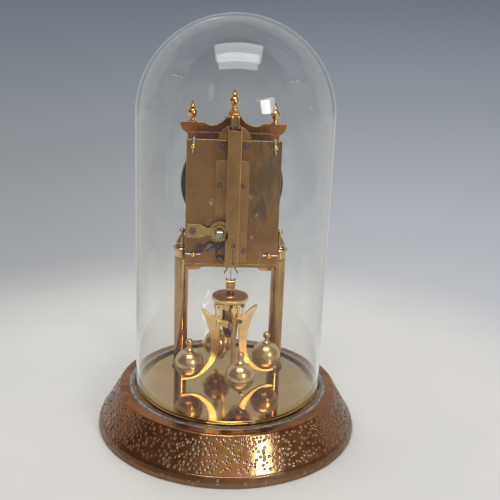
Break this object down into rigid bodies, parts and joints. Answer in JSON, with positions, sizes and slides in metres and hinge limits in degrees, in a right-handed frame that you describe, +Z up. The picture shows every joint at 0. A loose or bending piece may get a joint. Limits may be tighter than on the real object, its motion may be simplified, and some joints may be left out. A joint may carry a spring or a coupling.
{
  "type": "anniversary clock",
  "caption": "Torsion pendulum clock under a glass dome on a dimpled copper base, with a ball pendulum, brass movement on pillars and a round dial.",
  "frame": {"origin": "centre of the base's underside, on the table", "axes": "+Z up along the dome's axis; the dial faces -Y and the winding square faces +Y"},
  "size_m": [0.188, 0.188, 0.2941],
  "materials": {
    "copper": "spun copper with a bronze patina, punched all over with small dimples",
    "polished_brass": "polished and lacquered brass",
    "aged_brass": "satin brass, aged golden brown with tarnish streaks",
    "solder": "dull grey solder",
    "clear_glass": "clear blown glass, faintly grey",
    "blued_steel": "dark purplish blued steel",
    "bright_steel": "bright polished steel",
    "black_paint": "satin black paint",
    "enamel": "white enamel with plain black hour numbers and minute marks"
  },
  "bodies": {
    "clock_frame": {"base_skirt": "copper", "base_plate": "polished_brass", "solder_seam": "solder", "pillars": "aged_brass", "pillar_caps": "polished_brass", "platform": "aged_brass", "under_screws": "blued_steel", "back_plate": "aged_brass", "front_plate": "aged_brass", "plate_posts": "aged_brass", "taper_pins": "bright_steel", "pediment_plate": "aged_brass", "finials": "polished_brass", "dial_pan": "black_paint", "dial_plate": "enamel", "dial_bezel": "polished_brass", "click_spring": "blued_steel", "click_bridge": "aged_brass", "rear_screws": "blued_steel", "suspension_bracket": "aged_brass", "upper_block": "aged_brass", "suspension_spring": "bright_steel", "suspension_guard": "aged_brass"},
    "dome": {"glass_dome": "clear_glass"},
    "pendulum": {"pendulum_stem": "polished_brass", "pendulum_yoke": "polished_brass", "lower_block": "polished_brass", "pendulum_arms": "polished_brass", "arm_clamps": "polished_brass", "arm_screws": "blued_steel", "pendulum_balls": "polished_brass", "ball_knobs": "polished_brass"},
    "regulator": {"regulating_disc": "polished_brass"},
    "fork": {"fork": "aged_brass"},
    "anchor": {"anchor": "bright_steel", "anchor_arbor": "bright_steel"},
    "centre": {"centre_arbor": "bright_steel", "centre_wheel": "aged_brass", "cannon_pinion": "bright_steel", "minute_hand": "blued_steel", "hand_nut": "polished_brass"},
    "barrel": {"barrel": "aged_brass", "barrel_cap": "aged_brass", "mainspring": "blued_steel"},
    "winding": {"winding_arbor": "bright_steel", "ratchet_wheel": "aged_brass"},
    "click": {"click": "blued_steel"},
    "first": {"first_arbor": "bright_steel", "first_wheel": "aged_brass"},
    "second": {"second_arbor": "bright_steel", "second_wheel": "aged_brass"},
    "fourth": {"fourth_arbor": "bright_steel", "fourth_wheel": "aged_brass"},
    "third": {"third_arbor": "bright_steel", "third_wheel": "aged_brass"},
    "escape": {"escape_arbor": "bright_steel", "escape_wheel": "aged_brass"},
    "minute_work": {"minute_wheel": "aged_brass"},
    "hour_work": {"hour_wheel": "aged_brass", "hour_hand": "blued_steel"}
  },
  "joints": [
    {"name": "dome_lift", "type": "slide", "parent": "clock_frame", "child": "dome", "axis": [0, 0, 1], "range_m": [0, 0.28]},
    {"name": "pendulum_spin", "type": "hinge", "parent": "clock_frame", "child": "pendulum", "pos_m": [0, 0.002, 0.1076], "axis": [0, 0, 1], "range_deg": [-150, 150], "stiffness_Nm_per_rad": 0.000027, "deforming": ["suspension_spring"]},
    {"name": "disc_turn", "type": "hinge", "parent": "pendulum", "child": "regulator", "pos_m": [0, 0.002, 0.0976], "axis": [0, 0, 1], "range_deg": [-90, 90]},
    {"name": "fork_twist", "type": "hinge", "parent": "clock_frame", "child": "fork", "pos_m": [0, 0.002, 0.2125], "axis": [0, 0, 1], "range_deg": [-2.2, 2.2]},
    {"name": "anchor_rock", "type": "hinge", "parent": "clock_frame", "child": "anchor", "pos_m": [0, -0.02, 0.197], "axis": [0, 1, 0], "range_deg": [-2.3, 2.3]},
    {"name": "centre_turn", "type": "hinge", "parent": "clock_frame", "child": "centre", "pos_m": [0, -0.02, 0.1707], "axis": [0, 1, 0], "continuous": true},
    {"name": "winding_turn", "type": "hinge", "parent": "clock_frame", "child": "winding", "pos_m": [0.0087, -0.01, 0.1444], "axis": [0, 1, 0], "continuous": true, "deforming": ["mainspring"]},
    {"name": "click_lift", "type": "hinge", "parent": "clock_frame", "child": "click", "pos_m": [0.01515, -0.0067, 0.1322], "axis": [0, 1, 0], "range_deg": [-12, 0], "deforming": ["click_spring"]},
    {"name": "first_turn", "type": "hinge", "parent": "clock_frame", "child": "first", "pos_m": [-0.01506, -0.02, 0.1407], "axis": [0, 1, 0], "continuous": true},
    {"name": "second_turn", "type": "hinge", "parent": "clock_frame", "child": "second", "pos_m": [-0.01735, -0.02, 0.1565], "axis": [0, 1, 0], "continuous": true},
    {"name": "fourth_turn", "type": "hinge", "parent": "clock_frame", "child": "fourth", "pos_m": [-0.01345, -0.02, 0.1701], "axis": [0, 1, 0], "continuous": true},
    {"name": "third_turn", "type": "hinge", "parent": "clock_frame", "child": "third", "pos_m": [0.0145, -0.02, 0.1652], "axis": [0, 1, 0], "continuous": true},
    {"name": "escape_turn", "type": "hinge", "parent": "clock_frame", "child": "escape", "pos_m": [0.009, -0.02, 0.181], "axis": [0, 1, 0], "continuous": true},
    {"name": "barrel_turn", "type": "hinge", "parent": "clock_frame", "child": "barrel", "pos_m": [0.0087, -0.02, 0.1444], "axis": [0, 1, 0], "continuous": true},
    {"name": "minute_work_turn", "type": "hinge", "parent": "clock_frame", "child": "minute_work", "pos_m": [0.00766, -0.037, 0.16427], "axis": [0, 1, 0], "continuous": true},
    {"name": "hour_work_turn", "type": "hinge", "parent": "clock_frame", "child": "hour_work", "pos_m": [0, -0.037, 0.1707], "axis": [0, 1, 0], "continuous": true}
  ],
  "couplings": [
    {"joint": "fork_twist", "follows": "pendulum_spin", "ratio": 0.014},
    {"joint": "anchor_rock", "follows": "pendulum_spin", "ratio": 0.014452},
    {"joint": "first_turn", "follows": "centre_turn", "ratio": -0.0046296},
    {"joint": "second_turn", "follows": "centre_turn", "ratio": 0.027778},
    {"joint": "fourth_turn", "follows": "centre_turn", "ratio": -0.16667},
    {"joint": "third_turn", "follows": "centre_turn", "ratio": -3},
    {"joint": "escape_turn", "follows": "centre_turn", "ratio": 10},
    {"joint": "barrel_turn", "follows": "centre_turn", "ratio": 0.00098204},
    {"joint": "minute_work_turn", "follows": "centre_turn", "ratio": -0.33333},
    {"joint": "hour_work_turn", "follows": "centre_turn", "ratio": 0.083333}
  ]
}
